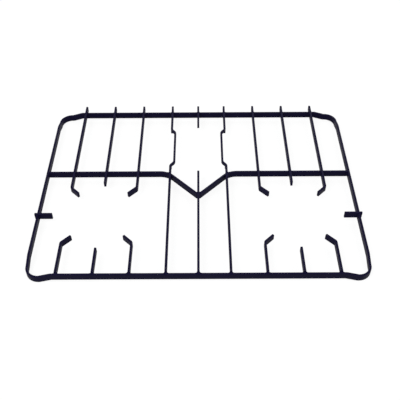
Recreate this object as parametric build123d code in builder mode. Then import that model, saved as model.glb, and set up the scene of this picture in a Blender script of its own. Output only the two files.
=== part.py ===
"""Pan support for a three burner hob, welded from steel strip that stands on edge.

The front is at -Y. The origin is under the middle of the part, on the surface that its corners stand on.
Sizes are in millimetres and take in the enamel.
"""

import os

from build123d import *

# Strips that the pieces are cut from: one for the bars and lugs, and a lower one for the fingers
strip_thickness = 3.4
bar_height = 10.4
finger_height = 9.4
strip_edge_radius = 0.6
strip_end_radius = 0.5

# Spacing of the fingers across the width, from the middle line outwards
centre_pitch = 44.5
finger_pitch = 50.0
side_gap = 42.5

# Outer frame, on the strip's centre line; its corners are pressed down as feet
frame_depth = 350.0
corner_radius = 17.5
foot_drop = 5.0
foot_flat = 1.2
joggle_length = 17.0
joggle_radius = 5.0

# How far the fingers stand up above the bars, and how far they run out behind the back bar
finger_rise = 3.0
finger_overhang = 13.0
lap_clearance = 0.1

# Middle bar, with a V at the middle of its length
middle_bar_setback = 201.0
v_half_width = 48.0
v_depth = 50.0
v_shoulder_radius = 29.0
v_point_radius = 4.0

# Places of the burners, and the distance from a burner's middle to the straight finger tips around it
front_burner_setback = 109.5
front_burner_clear = 65.0
rear_burner_inset = 92.0
rear_burner_clear = 57.5

# Finger tips that bend in beside the front burners
hook_setback = 55.0
hook_step = 12.5
hook_radius = 4.0

# Long bars that step in beside the rear burner, and what is left of their height there
kink_half_length = 36.5
kink_run = 7.5
kink_step = 6.0
kink_radius = 8.0
kink_height = 4.4

# Lugs across the sides of the frame
lug_inner_reach = 21.5
lug_outer_reach = 4.5

# Heights of the bars' middles, of the tops of the strips, and of the half laps where they cross
foot_level = bar_height / 2
bar_level = foot_level + foot_drop
bar_top = bar_level + bar_height / 2
finger_top = bar_top + finger_rise
lap_level = (finger_top - finger_height + bar_top) / 2
slot_width = strip_thickness + 2 * lap_clearance

# Places of the bars, fingers and burners in plan
inner_finger_x = centre_pitch + finger_pitch
burner_x = inner_finger_x + finger_pitch
outer_finger_x = burner_x + finger_pitch
side_x = outer_finger_x + side_gap
overall_depth = frame_depth + strip_thickness + finger_overhang
front_y = (strip_thickness - overall_depth) / 2
back_y = front_y + frame_depth
middle_y = front_y + middle_bar_setback
butt_y = front_y + strip_thickness / 2
finger_back_y = back_y + strip_thickness / 2 + finger_overhang
front_burner_y = front_y + front_burner_setback
rear_burner_y = back_y - rear_burner_inset
kink_reach = kink_half_length + kink_run

sides = {"left": -1, "right": 1}


def centre_line(points, radii=(), closed=False):
    """Line that a strip follows: straight runs through the points, bent by one radius at each corner."""
    with BuildLine() as line:
        if radii:
            FilletPolyline(*points, radius=radii, close=closed)
        else:
            Polyline(*points)
    return line.wire()


def strip_along(path, height, free_ends=()):
    """Strip on edge along a path, rounded over at its free ends: 0 is the path's start and 1 its end."""
    along = path % 0
    across = Vector(0, 0, 1).cross(along)
    with BuildPart() as strip:
        with BuildSketch(Plane(path @ 0, x_dir=across, z_dir=along)):
            RectangleRounded(strip_thickness, height, strip_edge_radius)
        sweep(path=path)
        for end in free_ends:
            end_face = strip.faces().sort_by_distance(path @ end)[0]
            fillet(end_face.edges(), radius=strip_end_radius)
    return strip.part


def raised(line, level):
    """The same line, lifted to the middle height of its strip."""
    return Pos(0, 0, level) * line


def frame_line():
    """Closed line of the outer frame: corners low, each side raised between two joggles."""
    low_end = corner_radius + foot_flat
    high_end = low_end + joggle_length
    corners = [(side_x, front_y), (side_x, back_y), (-side_x, back_y), (-side_x, front_y)]
    points = []
    radii = []
    for (x, y), (next_x, next_y) in zip(corners, corners[1:] + corners[:1]):
        length = abs(next_x - x) + abs(next_y - y)
        step_x = (next_x - x) / length
        step_y = (next_y - y) / length
        points.append((x, y, foot_level))
        radii.append(corner_radius)
        bends = [(low_end, foot_level), (high_end, bar_level)]
        bends += [(length - high_end, bar_level), (length - low_end, foot_level)]
        for distance, level in bends:
            points.append((x + distance * step_x, y + distance * step_y, level))
            radii.append(joggle_radius)
    return centre_line(points, radii, closed=True)


def middle_line():
    """Line of the middle bar, from side to side, with its V towards the front."""
    end_x = side_x - strip_thickness / 2
    points = [(-end_x, middle_y), (-v_half_width, middle_y), (0, middle_y - v_depth)]
    points += [(v_half_width, middle_y), (end_x, middle_y)]
    return centre_line(points, [v_shoulder_radius, v_point_radius, v_shoulder_radius])


def straight_line(x, start_y, end_y):
    """Line of a strip that runs straight from front to back."""
    return centre_line([(x, start_y), (x, end_y)])


def hooked_line(x, target_x, root_y, facing):
    """Line of a finger whose tip bends towards a burner; facing is 1 in front of the burner and -1 behind."""
    sideways = 1 if target_x > x else -1
    bend_y = front_burner_y - facing * hook_setback
    tip = (x + sideways * hook_step, bend_y + facing * hook_step)
    return centre_line([(x, root_y), (x, bend_y), tip], [hook_radius])


def kinked_line(side):
    """Line of a long bar that steps in beside the rear burner."""
    outer_x = side * centre_pitch
    inner_x = side * (centre_pitch - kink_step)
    points = [(outer_x, butt_y), (outer_x, rear_burner_y - kink_reach)]
    points += [(inner_x, rear_burner_y - kink_half_length), (inner_x, rear_burner_y + kink_half_length)]
    points += [(outer_x, rear_burner_y + kink_reach), (outer_x, finger_back_y)]
    return centre_line(points, [kink_radius] * (len(points) - 2))


def lug_line(side):
    """Line of a side lug, from inside the frame to just outside it."""
    inner_end = (side * (side_x - lug_inner_reach), front_burner_y)
    outer_end = (side * (side_x + lug_outer_reach), front_burner_y)
    return centre_line([inner_end, outer_end])


def lap_slots(lines):
    """Slots for strips that cross, drawn in plan a clearance wider than the strips."""
    with BuildSketch() as slots:
        for line in lines:
            trace(line, line_width=slot_width)
    return slots.sketch


# Lines of the upper strips: lugs, fingers with two free ends, fingers and bars that butt on the front bar
lug_lines = {f"{side_name}_side_lug": lug_line(side) for side_name, side in sides.items()}
free_lines = {"rear_centre_finger": straight_line(0, rear_burner_y + rear_burner_clear, finger_back_y)}
kinked_lines = {f"{side_name}_kinked_bar": kinked_line(side) for side_name, side in sides.items()}
butted_lines = {"front_centre_bar": straight_line(0, butt_y, rear_burner_y - rear_burner_clear)} | kinked_lines
for side_name, side in sides.items():
    target_x = side * burner_x
    free_lines[f"{side_name}_centre_finger"] = straight_line(
        target_x, front_burner_y + front_burner_clear, finger_back_y
    )
    butted_lines[f"{side_name}_front_centre_finger"] = straight_line(
        target_x, butt_y, front_burner_y - front_burner_clear
    )
    for row, finger_x in {"inner": inner_finger_x, "outer": outer_finger_x}.items():
        x = side * finger_x
        free_lines[f"{side_name}_{row}_finger"] = hooked_line(x, target_x, finger_back_y, -1)
        butted_lines[f"{side_name}_front_{row}_finger"] = hooked_line(x, target_x, butt_y, 1)
upper_lines = lug_lines | free_lines | butted_lines

# Lines of the bars that the upper strips lie across
bar_lines = [middle_line(), centre_line([(-side_x, back_y), (side_x, back_y)])]
bar_lines += [straight_line(side * side_x, front_y, back_y) for side in sides.values()]

upper_slots = lap_slots(upper_lines.values())
bar_slots = lap_slots(bar_lines)

os.makedirs("parts", exist_ok=True)

with BuildPart() as outer_frame:
    add(strip_along(frame_line(), bar_height))
    with BuildSketch(Plane.XY.offset(lap_level)):
        add(upper_slots)
    extrude(amount=bar_height, mode=Mode.SUBTRACT)
outer_frame.part.label = "outer_frame"
export_step(outer_frame.part, "parts/outer_frame.step")

with BuildPart() as middle_bar:
    add(strip_along(raised(middle_line(), bar_level), bar_height))
    with BuildSketch(Plane.XY.offset(lap_level)):
        add(upper_slots)
    extrude(amount=bar_height, mode=Mode.SUBTRACT)
middle_bar.part.label = "middle_bar"
export_step(middle_bar.part, "parts/middle_bar.step")

for name, line in upper_lines.items():
    height = bar_height if name in lug_lines else finger_height
    free_ends = [1] if name in butted_lines else [0, 1]
    with BuildPart() as upper_strip:
        add(strip_along(raised(line, finger_top - height / 2), height, free_ends))
        with BuildSketch(Plane.XY.offset(lap_level)):
            add(bar_slots)
        extrude(amount=-bar_height, mode=Mode.SUBTRACT)
        if name in kinked_lines:
            with BuildSketch(Plane.XY.offset(finger_top - kink_height)):
                with Locations((0, rear_burner_y)):
                    Rectangle(2 * burner_x, 2 * kink_reach)
            extrude(amount=-finger_height, mode=Mode.SUBTRACT)
    upper_strip.part.label = name
    export_step(upper_strip.part, f"parts/{name}.step")
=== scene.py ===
"""Dresses the hob pan support: fired enamel on its strips, welds at its joints and a pale studio round it.

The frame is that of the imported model: metres, the front at -Y, the corners of the support standing on z = 0.
"""

import logging
import math
from collections.abc import Sequence
from dataclasses import dataclass, field
from enum import Enum
from typing import ClassVar

import bpy
import numpy as np
from mathutils import Matrix, Vector


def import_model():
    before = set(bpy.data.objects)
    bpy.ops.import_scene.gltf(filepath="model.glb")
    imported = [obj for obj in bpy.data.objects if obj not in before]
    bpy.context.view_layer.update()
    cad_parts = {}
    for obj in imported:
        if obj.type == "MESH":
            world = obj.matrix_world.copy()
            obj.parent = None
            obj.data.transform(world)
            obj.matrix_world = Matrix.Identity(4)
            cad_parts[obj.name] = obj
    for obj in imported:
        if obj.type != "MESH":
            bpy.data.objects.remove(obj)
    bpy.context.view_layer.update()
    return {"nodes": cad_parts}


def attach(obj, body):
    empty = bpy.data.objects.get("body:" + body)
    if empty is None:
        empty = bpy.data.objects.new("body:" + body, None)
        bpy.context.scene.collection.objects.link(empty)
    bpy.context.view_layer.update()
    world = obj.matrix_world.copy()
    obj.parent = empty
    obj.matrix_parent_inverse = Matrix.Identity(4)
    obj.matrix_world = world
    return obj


Colour = tuple[float, float, float]
Place = tuple[float, float, float]
Span = tuple[float, float]

LOG = logging.getLogger("pan_support")
MM = 0.001
RIGHT_ANGLE = math.pi / 2
BODY = "root"
SLOT = "enamel"


class StripSide(Enum):
    """Side of the support, as the sign of its X."""

    LEFT = -1
    RIGHT = 1


class StripRun(Enum):
    """Way that the higher strip of a joint runs, as the number of its coordinate."""

    SIDEWAYS = 0
    BACKWARDS = 1


class Coat(Enum):
    """Which surface an enamel coat lies on."""

    STRIP = "strip"
    WELD = "weld"


def opaque(colour: Colour) -> tuple[float, float, float, float]:
    """The colour with full cover, as a shader's colour input takes it."""
    return (*colour, 1.0)


class NodeBoard:
    """Adds shader nodes to one node tree and joins them up.

    The colour sockets of a mix node share their names with its other sockets, so they go by number.
    """

    MIX_INPUTS: ClassVar[tuple[int, int, int]] = (0, 6, 7)
    MIX_RESULT: ClassVar[int] = 2
    RAMP_INPUTS: ClassVar[tuple[str, ...]] = ("Value", "From Min", "From Max", "To Min", "To Max")

    def __init__(self, tree: bpy.types.NodeTree) -> None:
        """Starts from an empty tree."""
        self.tree = tree
        self.tree.nodes.clear()

    def add(self, kind: str, **inputs: object) -> bpy.types.Node:
        """Adds a node and fills its inputs.

        Args:
            kind: type name of the node.
            inputs: value or socket for each input, with an underscore for each space in the input's name.

        Returns:
            The new node.
        """
        node = self.tree.nodes.new(kind)
        for name, value in inputs.items():
            self.feed(node.inputs[name.replace("_", " ")], value)
        return node

    def feed(self, target: bpy.types.NodeSocket, value: object) -> None:
        """Joins a socket to an input, or sets the input to a plain value.

        Args:
            target: input to fill.
            value: socket or plain value.
        """
        if isinstance(value, bpy.types.NodeSocket):
            self.tree.links.new(value, target)
        else:
            target.default_value = value

    def math(self, operation: str, first: object, second: object = 0.0) -> bpy.types.NodeSocket:
        """Works out one sum on two numbers.

        Args:
            operation: name of the sum.
            first: first number or socket.
            second: second number or socket, not used by sums on one number.

        Returns:
            The socket that holds the result.
        """
        node = self.tree.nodes.new("ShaderNodeMath")
        node.operation = operation
        self.feed(node.inputs[0], first)
        self.feed(node.inputs[1], second)
        return node.outputs[0]

    def ramp(self, value: object, source: Span, result: Span = (0.0, 1.0)) -> bpy.types.NodeSocket:
        """Carries a number from one range to another along a smooth step, held at both ends.

        Args:
            value: number or socket to carry over.
            source: values that give the start and the end of the result.
            result: start and end of the result.

        Returns:
            The socket that holds the result.
        """
        node = self.tree.nodes.new("ShaderNodeMapRange")
        node.interpolation_type = "SMOOTHSTEP"
        for name, number in zip(self.RAMP_INPUTS, (value, *source, *result)):
            self.feed(node.inputs[name], number)
        return node.outputs["Result"]

    def noise(self, place: bpy.types.NodeSocket, size: float, detail: float) -> bpy.types.NodeSocket:
        """Soft noise from 0 to 1, with size the width of a cloud and detail the number of finer layers."""
        node = self.add("ShaderNodeTexNoise", Vector=place, Scale=1.0 / size, Detail=detail)
        return node.outputs[0]

    def blend(self, share: object, first: object, second: object) -> bpy.types.NodeSocket:
        """Mixes two colours.

        Args:
            share: part of the second colour.
            first: first colour or socket.
            second: second colour or socket.

        Returns:
            The socket with the mixed colour.
        """
        node = self.tree.nodes.new("ShaderNodeMix")
        node.data_type = "RGBA"
        for number, value in zip(self.MIX_INPUTS, (share, first, second)):
            self.feed(node.inputs[number], value)
        return node.outputs[self.MIX_RESULT]

    def join(self, share: object, first: bpy.types.Node, second: bpy.types.Node) -> bpy.types.NodeSocket:
        """Mixes two shaders.

        Args:
            share: part of the second shader.
            first: node of the first shader.
            second: node of the second shader.

        Returns:
            The socket with the mixed shader.
        """
        node = self.add("ShaderNodeMixShader", Fac=share)
        self.feed(node.inputs[1], first.outputs[0])
        self.feed(node.inputs[2], second.outputs[0])
        return node.outputs[0]


@dataclass(frozen=True)
class EnamelFinish:
    """Satin black vitreous enamel with a blue-violet cast, fired on steel.

    Attributes:
        coat: surface that the enamel lies on.
        deep: colour of a thick coat.
        thin_and_lit: colour of a thin coat, and the colour that painted light from above lightens upper faces
            towards.
        speck: colour that is mixed into a pit.
        tint: colour of the gloss.
        shine: strength of the gloss.
        roughness: roughness of the smoothest and of the dullest places.
        mottle_size: width of a cloud.
        mottle_detail: number of finer layers in a cloud.
        peel_size: width of a ripple.
        peel_detail: number of finer layers in a ripple.
        grain_size: width of a grain.
        grain_detail: number of finer layers in the grain.
        pit_spacing: about the distance between the places where a pit may lie.
        pit_rim: distances from a pit's middle, in spacings, between which it fades out.
        pit_rarity: share of those places that stay without a pit.
        pit_paleness: share of the speck colour in the middle of a pit.
        pit_depth: depth of a pit, as a share of the relief.
        relief: height of the ripples.
        grain_relief: height of the grain, as a share of the relief.
        mottle_dullness: share of the clouds in the roughness.
        grain_dullness: share of the grain in the roughness.
        dullness_range: clouds and grain that give the smoothest and the dullest places.
        top_slope: upward parts of the normal between which a face comes to take painted light from above.
        top_painted_light: share of the lighter colour painted on upper faces, as painted light from above.
        edge_start: upright parts of the normal between which a rounded edge begins.
        edge_end: upright parts of the normal between which it ends.
        edge_thinness: how thin the coat gets on rounded edges.
        cloud_range: noise that gives the thickest and the thinnest clouds.
        cloud_thinness: how thin the coat gets in the thinnest clouds.
        grain_range: noise that gives the thickest and the thinnest grain.
        grain_thinness: how thin the coat gets in the thinnest grain.
    """

    coat: Coat
    deep: Colour = (0.0020, 0.0013, 0.0122)
    thin_and_lit: Colour = (0.0064, 0.0055, 0.0200)
    speck: Colour = (0.0300, 0.0285, 0.0420)
    tint: Colour = (0.74, 0.70, 1.00)
    shine: float = 0.04
    roughness: Span = (0.40, 0.60)
    mottle_size: float = 24 * MM
    mottle_detail: float = 4.0
    peel_size: float = 2.2 * MM
    peel_detail: float = 1.5
    grain_size: float = 0.45 * MM
    grain_detail: float = 3.0
    pit_spacing: float = 1.6 * MM
    pit_rim: Span = (0.06, 0.17)
    pit_rarity: float = 0.83
    pit_paleness: float = 0.55
    pit_depth: float = 0.7
    relief: float = 0.09 * MM
    grain_relief: float = 0.18
    mottle_dullness: float = 0.6
    grain_dullness: float = 0.4
    dullness_range: Span = (0.3, 0.7)
    top_slope: Span = (0.25, 0.95)
    top_painted_light: float = 0.12
    edge_start: Span = (0.15, 0.5)
    edge_end: Span = (0.72, 0.97)
    edge_thinness: float = 0.30
    cloud_range: Span = (0.32, 0.68)
    cloud_thinness: float = 0.38
    grain_range: Span = (0.3, 0.7)
    grain_thinness: float = 0.16

    def material(self) -> bpy.types.Material:
        """Builds the coat's material.

        The coat is darkest where it is thick. Upper faces are painted lighter, as painted light from above.
        The coat is thinner along rounded edges, clouded over a few centimetres, pitted here and there, and
        slightly rippled like orange peel.

        Returns:
            The new material.
        """
        made = bpy.data.materials.new(f"{SLOT}_{self.coat.value}")
        made.use_nodes = True
        board = NodeBoard(made.node_tree)
        place = board.add("ShaderNodeTexCoord").outputs["Object"]
        mottle = board.noise(place, self.mottle_size, self.mottle_detail)
        peel = board.noise(place, self.peel_size, self.peel_detail)
        grain = board.noise(place, self.grain_size, self.grain_detail)
        pits = self.pits(board, place)
        # The lighter colour on upper faces is painted light from above; on edges, in clouds and in grain it is
        # a thinner coat.
        body = board.blend(self.thinness_and_top_light(board, mottle, grain), opaque(self.deep), opaque(self.thin_and_lit))
        paleness = board.math("MULTIPLY", pits, self.pit_paleness)
        shader = board.add(
            "ShaderNodeBsdfPrincipled",
            Base_Color=board.blend(paleness, body, opaque(self.speck)),
            Roughness=self.dullness(board, mottle, grain),
            Normal=self.bump(board, peel, grain, pits),
            Specular_IOR_Level=self.shine,
            Specular_Tint=opaque(self.tint),
        )
        board.add("ShaderNodeOutputMaterial", Surface=shader.outputs[0])
        return made

    def pits(self, board: NodeBoard, place: bpy.types.NodeSocket) -> bpy.types.NodeSocket:
        """Small round pits in about one cell out of six of a cell pattern.

        Args:
            board: node board of the coat.
            place: coordinates in metres.

        Returns:
            The socket with the pits, 1 in the middle of a pit and 0 away from it.
        """
        cells = board.add("ShaderNodeTexVoronoi", Vector=place, Scale=1.0 / self.pit_spacing)
        near = board.ramp(cells.outputs["Distance"], self.pit_rim, (1.0, 0.0))
        chance = board.add("ShaderNodeSeparateColor", Color=cells.outputs["Color"]).outputs[0]
        return board.math("MULTIPLY", near, board.math("GREATER_THAN", chance, self.pit_rarity))

    def thinness_and_top_light(
        self, board: NodeBoard, mottle: bpy.types.NodeSocket, grain: bpy.types.NodeSocket
    ) -> bpy.types.NodeSocket:
        """Painted light on upper faces plus the thinner coat on rounded edges, clouds and grain, summed to 1
        at most.

        Args:
            board: node board of the coat.
            mottle: wide clouds.
            grain: fine grain.

        Returns:
            The socket with the lightening, from 0 to 1.
        """
        normal = board.add("ShaderNodeNewGeometry").outputs["Normal"]
        upward = board.add("ShaderNodeSeparateXYZ", Vector=normal).outputs["Z"]
        # Painted light from above: upper faces are painted lighter.
        top = board.ramp(upward, self.top_slope, (0.0, self.top_painted_light))
        tilt = board.math("ABSOLUTE", upward)
        begun = board.ramp(tilt, self.edge_start)
        edge = board.math("MULTIPLY", begun, board.ramp(tilt, self.edge_end, (1.0, 0.0)))
        clouds = board.ramp(mottle, self.cloud_range, (0.0, self.cloud_thinness))
        grains = board.ramp(grain, self.grain_range, (0.0, self.grain_thinness))
        # Painted light on upper faces, plus the thinner coat on rounded edges.
        shape = board.math("ADD", top, board.math("MULTIPLY", edge, self.edge_thinness))
        total = board.math("ADD", shape, board.math("ADD", clouds, grains))
        return board.math("MINIMUM", total, 1.0)

    def dullness(
        self, board: NodeBoard, mottle: bpy.types.NodeSocket, grain: bpy.types.NodeSocket
    ) -> bpy.types.NodeSocket:
        """Roughness of the coat, which follows the clouds and the grain.

        Args:
            board: node board of the coat.
            mottle: wide clouds.
            grain: fine grain.

        Returns:
            The socket with the roughness.
        """
        wide = board.math("MULTIPLY", mottle, self.mottle_dullness)
        fine = board.math("MULTIPLY", grain, self.grain_dullness)
        return board.ramp(board.math("ADD", wide, fine), self.dullness_range, self.roughness)

    def bump(
        self,
        board: NodeBoard,
        peel: bpy.types.NodeSocket,
        grain: bpy.types.NodeSocket,
        pits: bpy.types.NodeSocket,
    ) -> bpy.types.NodeSocket:
        """Relief of the coat: ripples and grain, less the pits.

        Args:
            board: node board of the coat.
            peel: ripples.
            grain: fine grain.
            pits: small round pits.

        Returns:
            The socket with the bumped normal.
        """
        raised = board.math("ADD", peel, board.math("MULTIPLY", grain, self.grain_relief))
        height = board.math("SUBTRACT", raised, board.math("MULTIPLY", pits, self.pit_depth))
        bump = board.add("ShaderNodeBump", Strength=1.0, Distance=self.relief, Height=height)
        return bump.outputs["Normal"]


@dataclass(frozen=True)
class StripLayout:
    """Places of the strips' middle lines and sizes of the strips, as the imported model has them, in metres.

    Attributes:
        thickness: thickness of every strip.
        edge_radius: radius of the strips' rounded edges.
        bar_bottom: height of the bars' undersides.
        bar_top: height of the bars' tops.
        finger_bottom: height of the fingers' undersides.
        lug_bottom: height of the lugs' undersides.
        kinked_x: X of the right kinked bar outside its step.
        inner_x: X of the right inner fingers.
        burner_x: X of the right centre fingers and of the burner between them.
        outer_x: X of the right outer fingers.
        side_x: X of the right side of the frame.
        front_y: Y of the front bar.
        back_y: Y of the back bar.
        middle_y: Y of the middle bar.
        lug_y: Y of the lugs.
        v_half_width: half the width of the middle bar's V, before its bends are rounded.
        v_depth: depth of the V, before its bends are rounded.
        v_shoulder_radius: radius of the bends at the V's shoulders.
        v_point_radius: radius of the bend at the V's point.
    """

    thickness: float = 3.4 * MM
    edge_radius: float = 0.6 * MM
    bar_bottom: float = 5.0 * MM
    bar_top: float = 15.4 * MM
    finger_bottom: float = 9.0 * MM
    lug_bottom: float = 8.0 * MM
    kinked_x: float = 44.5 * MM
    inner_x: float = 94.5 * MM
    burner_x: float = 144.5 * MM
    outer_x: float = 194.5 * MM
    side_x: float = 237.0 * MM
    front_y: float = -181.5 * MM
    back_y: float = 168.5 * MM
    middle_y: float = 19.5 * MM
    lug_y: float = -72.0 * MM
    v_half_width: float = 48.0 * MM
    v_depth: float = 50.0 * MM
    v_shoulder_radius: float = 29.0 * MM
    v_point_radius: float = 4.0 * MM

    @property
    def half(self) -> float:
        """Half the thickness of a strip."""
        return self.thickness / 2

    @property
    def finger_places(self) -> tuple[float, ...]:
        """X of every strip that runs from front to back, from left to right."""
        right = (self.kinked_x, self.inner_x, self.burner_x, self.outer_x)
        return (*(-x for x in reversed(right)), 0.0, *right)

    @property
    def arm_angle(self) -> float:
        """Angle of the right arm of the V from the X axis, in radians."""
        return math.atan2(self.v_depth, self.v_half_width)


@dataclass(frozen=True)
class BeadRise:
    """How a weld changes from its bottom ring to its top ring, one number for each ring.

    Attributes:
        heights: height of each ring.
        reach: how far the weld runs out along the strips, as a share of its leg.
        nose: how far the weld runs over the bar that a strip butts on, as a share of its nose.
        upper_inset: how far the ring lies inside the higher strip's faces.
        lower_inset: how far the ring lies inside the lower strip's faces.
    """

    TOE_RINGS: ClassVar[int] = 7
    EDGE_RINGS: ClassVar[int] = 4
    FLAT_RINGS: ClassVar[int] = 7
    FLUSH_RINGS: ClassVar[int] = 21

    heights: np.ndarray
    reach: np.ndarray
    nose: np.ndarray
    upper_inset: np.ndarray
    lower_inset: np.ndarray

    @classmethod
    def lapped(cls, low: float, high: float, toe: float, edge: float, inset: float) -> "BeadRise":
        """Weld between a bar and a strip that stands higher.

        Between the higher strip's underside and the bar's top the reach is whole, and the rings follow the
        rounded edges of both: inset edge (1 - cos(t)) at a height edge sin(t). Above and below, the ring
        follows a quarter circle: reach 1 - sin(t) at a height toe (1 - cos(t)) further out. There the inset
        of the rounded edge fades with the reach, and the end inset grows as 1 - reach. In both, t goes from
        0 to a right angle.

        Args:
            low: height of the higher strip's underside.
            high: height of the bar's top.
            toe: height of each quarter circle.
            edge: radius of the strips' rounded edges.
            inset: how far the end rings lie inside the strips.

        Returns:
            The rise of the weld.
        """
        turn = np.linspace(0.0, RIGHT_ANGLE, cls.TOE_RINGS + 1)[1:]
        rise = toe * (1 - np.cos(turn))
        fade = 1 - np.sin(turn)
        bend = np.linspace(0.0, RIGHT_ANGLE, cls.EDGE_RINGS + 1)[1:]
        lift = edge * np.sin(bend)
        pull = edge * (1 - np.cos(bend))
        flat = np.linspace(low + edge, high - edge, cls.FLAT_RINGS)
        below = [low - rise[::-1], (low + edge - lift)[::-1]]
        above = [high - edge + lift, high + rise]
        heights = np.concatenate([*below, flat, *above])
        whole = np.ones(len(flat) + 2 * len(bend))
        reach = np.concatenate([fade[::-1], whole, fade])
        nose = np.concatenate([np.ones_like(fade), whole, fade])
        rounding = np.concatenate([pull, edge * fade])
        plain = np.zeros(len(heights) - len(rounding))
        lower_inset = np.concatenate([plain, rounding]) + inset * (1 - reach)
        return cls(heights, reach, nose, lower_inset[::-1], lower_inset)

    @classmethod
    def flush(cls, low: float, high: float, inset: float) -> "BeadRise":
        """Weld between two strips of one height: the reach is (1 - t^4)^(1/2), t from -1 at the foot to 1.

        Args:
            low: height of the weld's foot.
            high: height of the weld's head.
            inset: how far the end rings lie inside the strips.

        Returns:
            The rise of the weld.
        """
        along = np.sin(np.linspace(-RIGHT_ANGLE, RIGHT_ANGLE, cls.FLUSH_RINGS))
        reach = np.sqrt(1 - along**4)
        heights = (low + high) / 2 + along * (high - low) / 2
        ends = inset * (1 - reach)
        return cls(heights, reach, np.ones_like(reach), ends, ends)


@dataclass(frozen=True)
class WeldBead:
    """Fillet weld in the corners of one joint, softened by the enamel over it.

    Attributes:
        leg: how far a fillet runs out along a strip.
        rise: how the weld changes from ring to ring.
        nose: how far the weld runs over a bar that a finger butts on, as a share of the leg.
        back_run: length of the legs towards the back, as a share of the leg.
        front_run: length of the legs towards the front, as a share of the leg.
        upper: way that the higher strip runs.
        dip: share of its height that a fillet loses in its middle.
        bulge: how far the weld swells where it goes across a strip, as a share of the leg.
        unevenness: largest change of a leg from corner to corner, as a share of the leg.
        lumps: size of the long lumps up the weld, as a share of the reach.
        long_lumps: number of long lumps up the weld.
        short_lumps: number of short lumps up the weld.
        short_share: size of the short lumps, as a share of the long ones.
        corner_steps: points along a fillet.
        wall_steps: points across a strip.
        nose_steps: points round the nose.
    """

    leg: float
    rise: BeadRise
    nose: float = 0.60
    back_run: float = 1.0
    front_run: float = 1.0
    upper: StripRun = StripRun.BACKWARDS
    dip: float = 0.22
    bulge: float = 0.30
    unevenness: float = 0.22
    lumps: float = 0.10
    long_lumps: float = 1.5
    short_lumps: float = 3.2
    short_share: float = 0.6
    corner_steps: int = 9
    wall_steps: int = 3
    nose_steps: int = 13

    def crossing(
        self, corners: np.ndarray, before: np.ndarray, after: np.ndarray, rng: np.random.Generator
    ) -> np.ndarray:
        """Rings round a joint of two strips that cross: a fillet in each corner and a wall across each strip.

        The end of each fillet joins the start of the next across the strip, with a slight bulge.

        Args:
            corners: plan of each corner in each ring, as ring, corner and coordinate, anticlockwise.
            before: direction along the strip that each fillet starts on, away from the joint.
            after: direction along the strip that each fillet ends on, away from the joint.
            rng: source of the unevenness.

        Returns:
            Points of the rings, as ring, point and coordinate.
        """
        fillets = self.fillets(corners, before, after, rng)
        rings = np.concatenate([fillets, self.walls(fillets, after)], axis=2)
        return rings.reshape(len(rings), -1, 3)

    def butt(
        self, foot: Sequence[float], angle: float, half: float, rng: np.random.Generator
    ) -> np.ndarray:
        """Rings round a joint where a finger butts on a bar.

        Two fillets lie beside the finger, as at a crossing. The rest of the ring is half an ellipse over the
        bar: its half axes are the fillets' reach along the bar, and the nose across it.

        Args:
            foot: plan of the middle of the finger's end.
            angle: direction of the finger away from the bar, in radians.
            half: half the thickness of the finger.
            rng: source of the unevenness.

        Returns:
            Points of the rings, as ring, point and coordinate.
        """
        away = np.array([math.cos(angle), math.sin(angle)])
        aside = np.array([away[1], -away[0]])
        headings = np.stack([aside, away, -aside])
        width = (half - self.rise.upper_inset)[:, None]
        root = np.asarray(foot) - self.rise.lower_inset[:, None] * away
        corners = np.stack([root + width * aside, root - width * aside], axis=1)
        fillets = self.fillets(corners, headings[:2], headings[1:], rng)
        wall = self.walls(fillets, headings[1:])[:, 0]
        sweep = np.linspace(math.pi, 2 * math.pi, self.nose_steps + 2)[1:-1]
        start = fillets[:, 1, -1, :2] - root
        end = fillets[:, 0, 0, :2] - root
        reach = np.where(np.cos(sweep) < 0, -(start @ aside)[:, None], (end @ aside)[:, None])
        across = (reach * np.cos(sweep))[..., None] * aside
        forward = (self.leg * self.nose * self.rise.nose[:, None] * np.sin(sweep))[..., None] * away
        levels = np.repeat(self.rise.heights[:, None, None], self.nose_steps, axis=1)
        nose = np.concatenate([root[:, None] + across + forward, levels], axis=2)
        return np.concatenate([fillets[:, 0], wall, fillets[:, 1], nose], axis=1)

    def fillets(
        self, corners: np.ndarray, before: np.ndarray, after: np.ndarray, rng: np.random.Generator
    ) -> np.ndarray:
        """Fillet in every corner, uneven from corner to corner and lumpy along its height.

        In plan a fillet is corner + (1 - u)^2 r before + u^2 s after, with u from 0 to 1 and the reaches r
        and s. The reaches follow two sine waves up the weld, and the fillet's height dips by a parabola in u.

        Args:
            corners: plan of each corner in each ring, as ring, corner and coordinate.
            before: direction along the strip that each fillet starts on.
            after: direction along the strip that each fillet ends on.
            rng: source of the unevenness.

        Returns:
            Points, as ring, corner, step and coordinate.
        """
        count = corners.shape[1]
        u = np.linspace(0.0, 1.0, self.corner_steps)
        legs = self.leg * (1 + self.unevenness * rng.uniform(-1, 1, (2, count)))
        legs *= np.stack([self.run(before), self.run(after)])
        phase = rng.uniform(0, 2 * math.pi, (2, count))
        climb = np.linspace(0, 2 * math.pi, len(self.rise.heights))[:, None]
        wave = np.sin(self.long_lumps * climb + phase[0])
        wave = wave + self.short_share * np.sin(self.short_lumps * climb + phase[1])
        reach = self.rise.reach[:, None] * (1 + self.lumps * wave)
        first = (reach * legs[0])[:, :, None, None] * ((1 - u) ** 2)[:, None] * before[:, None, :]
        second = (reach * legs[1])[:, :, None, None] * (u**2)[:, None] * after[:, None, :]
        plan = corners[:, :, None, :] + first + second
        middle = self.rise.heights.mean()
        squeeze = 1 - self.dip * 4 * u * (1 - u)
        level = middle + (self.rise.heights - middle)[:, None, None] * squeeze
        level = np.broadcast_to(level, plan.shape[:3])
        return np.concatenate([plan, level[..., None]], axis=3)

    def run(self, along: np.ndarray) -> np.ndarray:
        """Share of the leg in each direction: 1 + (b - 1) y^2, with b the run to the back or the front."""
        depth = along[:, 1]
        return 1 + (np.where(depth > 0, self.back_run, self.front_run) - 1) * depth**2

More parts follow.
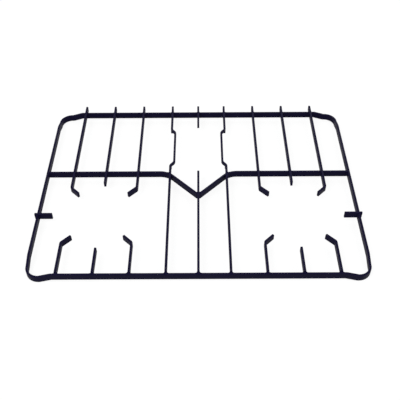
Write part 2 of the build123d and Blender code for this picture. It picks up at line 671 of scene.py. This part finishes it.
    def walls(self, fillets: np.ndarray, along: np.ndarray) -> np.ndarray:
        """Points across a strip, from the end A of each fillet to the start B of the next.

        The wall is A + (B - A) w, pushed out along the strip by a parabola in w.

        Args:
            fillets: points of the fillets, as ring, corner, step and coordinate.
            along: direction along the strip that each wall lies across.

        Returns:
            Points, as ring, wall, step and coordinate.
        """
        w = np.linspace(0.0, 1.0, self.wall_steps + 2)[1:-1, None]
        start = fillets[:, :, -1][:, :, None]
        end = np.roll(fillets[:, :, 0], -1, axis=1)[:, :, None]
        points = start + (end - start) * w
        push = self.bulge * self.leg * self.rise.reach[:, None, None, None] * 4 * w * (1 - w)
        points[..., :2] += push * along[:, None, :]
        return points


class MeshMaker:
    """Turns point grids into objects at the origin that ride on the support."""

    SHARP_ANGLE: ClassVar[float] = math.radians(55)

    @staticmethod
    def stacks(name: str, stacks: Sequence[np.ndarray]) -> bpy.types.Object:
        """Closed solid for each stack of rings.

        Point k of a ring joins point k + 1, the last point joins the first, and each ring joins the next one
        up. A fan round the middle of the first and the last ring closes the ends.

        Args:
            name: name of the new object.
            stacks: points of each stack, as ring, point and coordinate, anticlockwise from above and upwards.

        Returns:
            The new object.
        """
        vertices: list[np.ndarray] = []
        faces: list[list[int]] = []
        start = 0
        for stack in stacks:
            rows, columns, _ = stack.shape
            here = start + np.arange(rows * columns).reshape(rows, columns)
            ahead = np.roll(here, -1, axis=1)
            foot = np.full(columns, start + rows * columns)
            sides = np.stack([here[:-1], ahead[:-1], ahead[1:], here[1:]], axis=-1).reshape(-1, 4)
            bottom = np.stack([ahead[0], here[0], foot], axis=-1)
            top = np.stack([here[-1], ahead[-1], foot + 1], axis=-1)
            faces += sides.tolist() + bottom.tolist() + top.tolist()
            vertices += [stack.reshape(-1, 3), stack[[0, -1]].mean(axis=1)]
            start += rows * columns + 2
        mesh = bpy.data.meshes.new(name)
        mesh.from_pydata(np.concatenate(vertices).tolist(), [], faces)
        mesh.polygons.foreach_set("use_smooth", np.ones(len(mesh.polygons), dtype=bool))
        mesh.set_sharp_from_angle(angle=MeshMaker.SHARP_ANGLE)
        mesh.update()
        return MeshMaker.placed(name, mesh)

    @staticmethod
    def placed(name: str, mesh: bpy.types.Mesh) -> bpy.types.Object:
        """Links a mesh to the scene as an object at the origin.

        Args:
            name: name of the new object.
            mesh: mesh of the new object.

        Returns:
            The new object.
        """
        made = bpy.data.objects.new(name, mesh)
        bpy.context.scene.collection.objects.link(made)
        return made

    @staticmethod
    def dress(piece: bpy.types.Object, material: bpy.types.Material) -> None:
        """Gives a new piece its material and the body that carries it.

        Args:
            piece: the new piece.
            material: material of the whole piece.
        """
        piece.data.materials.append(material)
        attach(piece, BODY)
        LOG.info("%s: %d faces", piece.name, len(piece.data.polygons))


@dataclass
class Strips:
    """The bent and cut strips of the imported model, which keep their shapes and get their enamel here.

    Attributes:
        finish: enamel of the strips.
        nodes: object of each strip, by name.
    """

    finish: EnamelFinish
    nodes: dict[str, bpy.types.Object]

    def dress(self) -> None:
        """Puts the strip enamel in every material slot of every strip."""
        material = self.finish.material()
        for name, node in sorted(self.nodes.items()):
            if not node.material_slots:
                node.data.materials.append(material)
            for slot in node.material_slots:
                slot.material = material
            LOG.info("%s: enamel", name)


@dataclass
class JointWelds:
    """Welds at every joint of the strips, one piece for each row of joints.

    Attributes:
        finish: enamel of the welds.
        layout: places and sizes of the strips.
        seed: seed of the random unevenness.
        front_leg: leg of the welds on the front bar.
        crossing_leg: leg of the welds where fingers cross a bar.
        back_run: length of those legs behind the bar, as a share of the leg.
        front_run: length of those legs in front of the bar, as a share of the leg.
        side_leg: leg of the welds at the ends of the middle bar.
        lug_leg: leg of the welds at the lugs.
        toe: height of a weld above the bar's top and below the higher strip's underside.
        end_inset: how far the end rings lie inside the strips.
        flush_gap: how far a weld between two bars stays clear of their tops and undersides.
        rng: source of the unevenness.
    """

    LEAST_SLANT: ClassVar[float] = 1e-6

    finish: EnamelFinish
    layout: StripLayout
    seed: int = 1849
    front_leg: float = 4.2 * MM
    crossing_leg: float = 2.0 * MM
    back_run: float = 2.1
    front_run: float = 0.8
    side_leg: float = 1.9 * MM
    lug_leg: float = 1.3 * MM
    toe: float = 1.7 * MM
    end_inset: float = 0.12 * MM
    flush_gap: float = 0.45 * MM
    rng: np.random.Generator = field(init=False)

    def __post_init__(self) -> None:
        """Seeds the unevenness, so that every run gives the same welds."""
        self.rng = np.random.default_rng(self.seed)

    @property
    def finger_lap(self) -> BeadRise:
        """Rise of a weld between a bar and a finger."""
        return self.lap(self.layout.finger_bottom)

    @property
    def finger_bead(self) -> WeldBead:
        """Weld between a bar and a finger that crosses it, run out along the finger behind the bar."""
        return WeldBead(
            self.crossing_leg, self.finger_lap, back_run=self.back_run, front_run=self.front_run
        )

    @property
    def flush(self) -> BeadRise:
        """Rise of a weld between two bars."""
        low = self.layout.bar_bottom + self.flush_gap
        return BeadRise.flush(low, self.layout.bar_top - self.flush_gap, self.end_inset)

    def lap(self, low: float) -> BeadRise:
        """Rise of a weld between a bar and a higher strip, whose underside is at the height low."""
        plan = self.layout
        return BeadRise.lapped(low, plan.bar_top, self.toe, plan.edge_radius, self.end_inset)

    def build(self) -> None:
        """Makes and dresses the four rows of welds."""
        material = self.finish.material()
        rows = {
            "back_bar_welds": self.back_row(),
            "middle_bar_welds": self.middle_row(),
            "front_bar_welds": self.front_row(),
            "side_lug_welds": self.lug_row(),
        }
        for name, stacks in rows.items():
            MeshMaker.dress(MeshMaker.stacks(name, stacks), material)

    def straight_crossing(
        self, centre: Sequence[float], angles: Sequence[float], bead: WeldBead
    ) -> np.ndarray:
        """Weld where two straight strips cross.

        Each corner is centre + (h d + g e) / sin(a), with d and e the neighbouring directions along the
        strips, a the angle between them, and g and h half the widths of the rings across the strips along
        d and e. The higher strip is the one that runs the way that the bead gives, with no slant.

        Args:
            centre: plan of the crossing.
            angles: direction of each strip away from the crossing, anticlockwise, in radians.
            bead: size and rise of the weld.

        Returns:
            Points of the rings, as ring, point and coordinate.
        """
        spokes = np.asarray(angles)
        before = np.stack([np.cos(spokes), np.sin(spokes)], axis=1)
        after = np.roll(before, -1, axis=0)
        between = np.sin(np.roll(spokes, -1) - spokes)
        on_upper = np.abs(before[:, 1 - bead.upper.value]) < self.LEAST_SLANT
        insets = np.where(on_upper, bead.rise.upper_inset[:, None], bead.rise.lower_inset[:, None])
        widths = (self.layout.half - insets)[..., None]
        spread = np.roll(widths, -1, axis=1) * before + widths * after
        spread /= between[:, None]
        return bead.crossing(np.asarray(centre) + spread, before, after, self.rng)

    def square_crossing(self, x: float, y: float, bead: WeldBead) -> np.ndarray:
        """Weld where two strips cross at a right angle."""
        return self.straight_crossing((x, y), np.arange(4) * RIGHT_ANGLE, bead)

    def back_row(self) -> list[np.ndarray]:
        """Welds where the fingers cross the back bar."""
        plan = self.layout
        return [self.square_crossing(x, plan.back_y, self.finger_bead) for x in plan.finger_places]

    def lug_row(self) -> list[np.ndarray]:
        """Welds where the lugs cross the sides of the frame.

        Returns:
            Points of each weld's rings.
        """
        plan = self.layout
        bead = WeldBead(self.lug_leg, self.lap(plan.lug_bottom), upper=StripRun.SIDEWAYS)
        return [self.square_crossing(side.value * plan.side_x, plan.lug_y, bead) for side in StripSide]

    def front_row(self) -> list[np.ndarray]:
        """Welds where the fingers butt on the front bar.

        Returns:
            Points of each weld's rings.
        """
        plan = self.layout
        bead = WeldBead(self.front_leg, self.finger_lap)
        foot_y = plan.front_y + plan.half
        return [bead.butt((x, foot_y), RIGHT_ANGLE, plan.half, self.rng) for x in plan.finger_places]

    def middle_row(self) -> list[np.ndarray]:
        """Welds along the middle bar: fingers, kinked bars, the point of the V and both ends.

        Returns:
            Points of each weld's rings.
        """
        plan = self.layout
        straight = [x for x in plan.finger_places if abs(x) > plan.v_half_width]
        stacks = [self.square_crossing(x, plan.middle_y, self.finger_bead) for x in straight]
        stacks += [self.shoulder(side) for side in StripSide]
        stacks.append(self.point())
        end_bead = WeldBead(self.side_leg, self.flush)
        for side in StripSide:
            foot = (side.value * (plan.side_x - plan.half), plan.middle_y)
            inward = math.pi if side is StripSide.RIGHT else 0.0
            stacks.append(end_bead.butt(foot, inward, plan.half, self.rng))
        return stacks

    def shoulder(self, side: StripSide) -> np.ndarray:
        """Weld where a kinked bar crosses a shoulder of the V.

        The shoulder is an arc that starts a tangent length, radius tan(a / 2), outside the V's half width,
        with a the angle of the V's arm. At the kinked bar's X the arc gives the place and the slope of the
        middle bar.

        Args:
            side: side of the support.

        Returns:
            Points of the rings, as ring, point and coordinate.
        """
        plan = self.layout
        radius = plan.v_shoulder_radius
        arc_x = plan.v_half_width + radius * math.tan(plan.arm_angle / 2)
        slope = math.asin((arc_x - plan.kinked_x) / radius)
        y = plan.middle_y - radius * (1 - math.cos(slope))
        bar = slope if side is StripSide.RIGHT else math.pi - slope
        spokes = (bar, RIGHT_ANGLE, bar + math.pi, 3 * RIGHT_ANGLE)
        angles = sorted(angle % (2 * math.pi) for angle in spokes)
        return self.straight_crossing((side.value * plan.kinked_x, y), angles, self.finger_bead)

    def point(self) -> np.ndarray:
        """Weld where the front centre bar crosses the point of the V.

        The point is an arc about (0, c). The faces of the bar meet its inner and outer faces, of radius r, at
        y = c - (r^2 - h^2)^(1/2), where the slope is asin(h / r), and h is half the thickness. The fillets
        leave the joint halfway between that slope and the slope of the V's arm.

        Returns:
            Points of the rings, as ring, point and coordinate.
        """
        plan = self.layout
        bead = self.finger_bead
        centre_y = plan.middle_y - plan.v_depth + plan.v_point_radius / math.cos(plan.arm_angle)
        sides = np.array([-1.0, -1.0, 1.0, 1.0])
        radii = plan.v_point_radius + sides * plan.half
        inner, outer = (np.arcsin(plan.half / radii[[0, 2]]) + plan.arm_angle) / 2
        faces = radii - sides * bead.rise.lower_inset[:, None]
        across = (plan.half - bead.rise.upper_inset)[:, None] * np.array([1.0, -1.0, -1.0, 1.0])
        corners = np.stack([across, centre_y - np.sqrt(faces**2 - plan.half**2)], axis=2)
        up, down = RIGHT_ANGLE, 3 * RIGHT_ANGLE
        before = np.array([inner, up, math.pi - outer, down])
        after = np.array([up, math.pi - inner, down, outer])
        headings = [np.stack([np.cos(turn), np.sin(turn)], axis=1) for turn in (before, after)]
        return bead.crossing(corners, *headings, self.rng)


@dataclass(frozen=True)
class SoftBox:
    """One large soft lamp that faces the support.

    Attributes:
        name: name of the lamp.
        place: middle of the lamp.
        width: width of the lamp.
        power: power in watts.
        aim: point that the lamp faces.
    """

    name: str
    place: Place
    width: float
    power: float
    aim: Place = (0.0, -0.02, 0.0)

    def build(self) -> None:
        """Makes the lamp and turns it to the support."""
        light = bpy.data.lights.new(self.name, "AREA")
        light.shape = "SQUARE"
        light.size = self.width
        light.energy = self.power
        lamp = bpy.data.objects.new(self.name, light)
        bpy.context.scene.collection.objects.link(lamp)
        lamp.location = self.place
        lamp.rotation_euler = (Vector(self.aim) - lamp.location).to_track_quat("-Z", "Y").to_euler()
        LOG.info("%s: lamp", self.name)


@dataclass(frozen=True)
class Studio:
    """White floor and surroundings with soft light from above.

    Attributes:
        floor_reach: distance from the middle of the floor to its sides.
        floor_drop: how far the floor lies below the support.
        floor_glow: share of plain white in the floor under the support.
        glow_range: distances from the middle between which the floor turns plain white.
        floor_colour: colour of the floor's paint.
        white: colour of the plain white.
        ambient: strength of the light from the surroundings.
        lamps: soft lamps.
    """

    floor_reach: float = 6.0
    floor_drop: float = 0.1 * MM
    floor_glow: float = 0.88
    glow_range: Span = (0.45, 1.3)
    floor_colour: Colour = (0.86, 0.86, 0.87)
    white: Colour = (1.0, 1.0, 1.0)
    ambient: float = 0.55
    lamps: tuple[SoftBox, ...] = (
        SoftBox("key_lamp", (-1.1, -0.9, 1.9), 1.5, 42.0),
        SoftBox("fill_lamp", (1.5, -0.7, 1.5), 1.6, 18.0),
        SoftBox("back_lamp", (0.4, 1.7, 1.6), 1.4, 18.0),
    )

    def build(self) -> None:
        """Makes the floor, the surroundings and the lamps."""
        self.floor()
        self.surroundings()
        for lamp in self.lamps:
            lamp.build()

    @staticmethod
    def seen(board: NodeBoard) -> bpy.types.NodeSocket:
        """Picks out rays from the camera and rays that mirror or pass through a surface.

        Args:
            board: node board of the floor or the surroundings.

        Returns:
            The socket that is 1 for those rays and 0 for the rest.
        """
        path = board.add("ShaderNodeLightPath").outputs
        mirrored = board.math("MAXIMUM", path["Is Glossy Ray"], path["Is Transmission Ray"])
        return board.math("MAXIMUM", path["Is Camera Ray"], mirrored)

    def floor(self) -> None:
        """Makes the floor, a flat square that takes the support's shadow and is plain white further out."""
        corner = np.array([[-1, -1], [1, -1], [1, 1], [-1, 1]]) * self.floor_reach
        points = np.column_stack([corner, np.full(len(corner), -self.floor_drop)])
        mesh = bpy.data.meshes.new("floor")
        mesh.from_pydata(points.tolist(), [], [[0, 1, 2, 3]])
        mesh.materials.append(self.floor_paint())
        MeshMaker.placed("floor", mesh)
        LOG.info("floor: stage")

    def floor_paint(self) -> bpy.types.Material:
        """Builds the floor's material: paint that takes shadow, mixed with white for the rays that see it.

        Returns:
            The new material.
        """
        made = bpy.data.materials.new("floor_white")
        made.use_nodes = True
        board = NodeBoard(made.node_tree)
        paint = board.add("ShaderNodeBsdfDiffuse", Color=opaque(self.floor_colour))
        glow = board.add("ShaderNodeEmission", Color=opaque(self.white), Strength=1.0)
        place = board.add("ShaderNodeTexCoord").outputs["Object"]
        distance = board.add("ShaderNodeVectorMath", Vector=place)
        distance.operation = "LENGTH"
        whiteness = board.ramp(distance.outputs["Value"], self.glow_range, (self.floor_glow, 1.0))
        share = board.math("MULTIPLY", self.seen(board), whiteness)
        board.add("ShaderNodeOutputMaterial", Surface=board.join(share, paint, glow))
        return made

    def surroundings(self) -> None:
        """Makes surroundings that look white and light the support softly."""
        world = bpy.data.worlds.new("surroundings")
        world.use_nodes = True
        board = NodeBoard(world.node_tree)
        soft = board.add("ShaderNodeBackground", Color=opaque(self.white), Strength=self.ambient)
        plain = board.add("ShaderNodeBackground", Color=opaque(self.white), Strength=1.0)
        board.add("ShaderNodeOutputWorld", Surface=board.join(self.seen(board), soft, plain))
        bpy.context.scene.world = world
        LOG.info("surroundings: white")


@dataclass(frozen=True)
class PhotoCamera:
    """Camera at the photograph's place, as its perspective gives it.

    Attributes:
        eye: place of the camera.
        aim: point in the middle of the picture.
        roll: turn about the line of sight, in radians.
        lens: focal length in millimetres.
        sensor: width of the picture on the sensor, in millimetres.
        near: nearest distance that shows.
        far: furthest distance that shows.
    """

    eye: Place = (3.655 * MM, -702.240 * MM, 697.023 * MM)
    aim: Place = (2.522 * MM, -45.736 * MM, 18.4 * MM)
    roll: float = math.radians(-0.349)
    lens: float = 56.645
    sensor: float = 36.0
    near: float = 0.01
    far: float = 50.0

    def build(self) -> None:
        """Makes the camera: it looks from the eye to the aim, and is rolled about that line."""
        data = bpy.data.cameras.new("camera")
        data.lens = self.lens
        data.sensor_width = self.sensor
        data.clip_start = self.near
        data.clip_end = self.far
        camera = bpy.data.objects.new("camera", data)
        bpy.context.scene.collection.objects.link(camera)
        forward = (Vector(self.aim) - Vector(self.eye)).normalized()
        level = forward.cross(Vector((0.0, 0.0, 1.0))).normalized()
        upright = level.cross(forward)
        right = level * math.cos(self.roll) + upright * math.sin(self.roll)
        up = upright * math.cos(self.roll) - level * math.sin(self.roll)
        turn = Matrix((right, up, -forward)).transposed().to_4x4()
        camera.matrix_world = Matrix.Translation(self.eye) @ turn
        bpy.context.scene.camera = camera
        LOG.info("camera: lens %.2f mm", self.lens)


def main() -> None:
    """Loads the frame, dresses the strips, adds the welds and sets up the studio."""
    logging.basicConfig(level=logging.INFO, format="%(message)s")
    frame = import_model()
    Strips(EnamelFinish(Coat.STRIP), frame["nodes"]).dress()
    weld_finish = EnamelFinish(Coat.WELD, roughness=(0.44, 0.66), peel_size=1.5 * MM, relief=0.16 * MM)
    JointWelds(weld_finish, StripLayout()).build()
    Studio().build()
    PhotoCamera().build()
    bpy.context.scene.view_settings.view_transform = "Standard"


if __name__ == "__main__":
    main()
